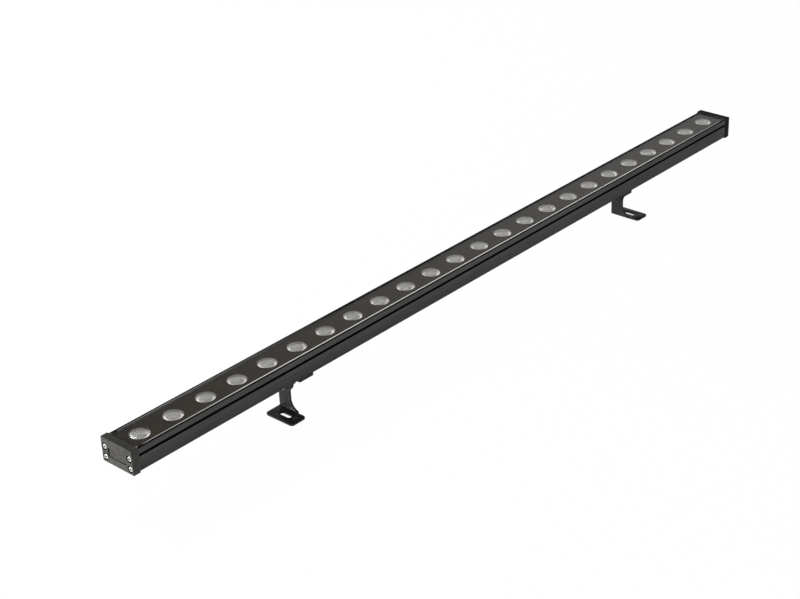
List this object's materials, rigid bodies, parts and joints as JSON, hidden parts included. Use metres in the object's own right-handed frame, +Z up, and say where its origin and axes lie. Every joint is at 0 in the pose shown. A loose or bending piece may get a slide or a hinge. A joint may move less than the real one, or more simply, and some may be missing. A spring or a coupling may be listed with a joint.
{
  "type": "outdoor wall washer light",
  "caption": "Slim outdoor wall washer bar: black extruded housing, lensed LEDs in a row behind black-printed glass, on tilting sheet-metal feet that slide along the bar.",
  "frame": {"origin": "middle of the object's box, on the surface that the two feet stand on", "axes": "+X along the bar from the blank end to the end with the cable gland, +Y to the back, away from the side that the feet reach to, +Z up, the way the lights shine"},
  "size_m": [1.0106, 0.0508, 0.0658],
  "materials": {
    "black_aluminium": "satin",
    "black_steel": "satin",
    "black_print": "gloss",
    "tempered_glass": "polished",
    "black_rubber": "matte",
    "pale_silicone": "satin",
    "clear_acrylic": "gloss",
    "white_plastic": "matte",
    "led_package": "satin",
    "white_board": "satin",
    "grey_pad": "matte",
    "stainless_steel": "satin",
    "black_plastic": "matte",
    "dark_ferrite": "matte",
    "red_wire": "satin",
    "green_plastic": "matte",
    "nickel_brass": "satin"
  },
  "bodies": {
    "lamp": {"housing": "black_aluminium", "mask_film": "black_print", "glass_cover": "tempered_glass", "glass_seals": "pale_silicone", "lenses": "clear_acrylic", "lens_holders": "white_plastic", "leds": "led_package", "circuit_boards": "white_board", "thermal_pads": "grey_pad", "board_screws": "stainless_steel", "driver_chips": "black_plastic", "inductors": "dark_ferrite", "board_links": "red_wire", "input_terminal": "green_plastic", "left_end_cap": "black_aluminium", "left_end_gasket": "black_rubber", "left_end_screws": "stainless_steel", "right_end_cap": "black_aluminium", "right_end_gasket": "black_rubber", "right_end_screws": "stainless_steel", "gland_body": "nickel_brass", "gland_ring": "black_rubber", "gland_seal": "black_rubber", "gland_nut": "nickel_brass"},
    "left_bracket": {"left_clamp": "black_steel", "left_slot_nut": "stainless_steel", "left_clamp_screws": "stainless_steel", "left_pivot_bolt": "stainless_steel", "left_flat_washer": "black_steel", "left_lock_washer": "black_steel", "left_pivot_nut": "black_steel"},
    "left_foot": {"left_foot": "black_steel"},
    "right_bracket": {"right_clamp": "black_steel", "right_slot_nut": "stainless_steel", "right_clamp_screws": "stainless_steel", "right_pivot_bolt": "stainless_steel", "right_flat_washer": "black_steel", "right_lock_washer": "black_steel", "right_pivot_nut": "black_steel"},
    "right_foot": {"right_foot": "black_steel"}
  },
  "joints": [
    {"name": "left_slide", "type": "slide", "parent": "lamp", "child": "left_bracket", "axis": [1, 0, 0], "range_m": [-0.15, 0.15]},
    {"name": "left_tilt", "type": "hinge", "parent": "left_bracket", "child": "left_foot", "pos_m": [-0.29083, 0.00363, 0.0297], "axis": [1, 0, 0], "range_deg": [-90, 90]},
    {"name": "right_slide", "type": "slide", "parent": "lamp", "child": "right_bracket", "axis": [1, 0, 0], "range_m": [-0.15, 0.15]},
    {"name": "right_tilt", "type": "hinge", "parent": "right_bracket", "child": "right_foot", "pos_m": [0.28018, 0.00363, 0.0297], "axis": [1, 0, 0], "range_deg": [-90, 90]}
  ]
}
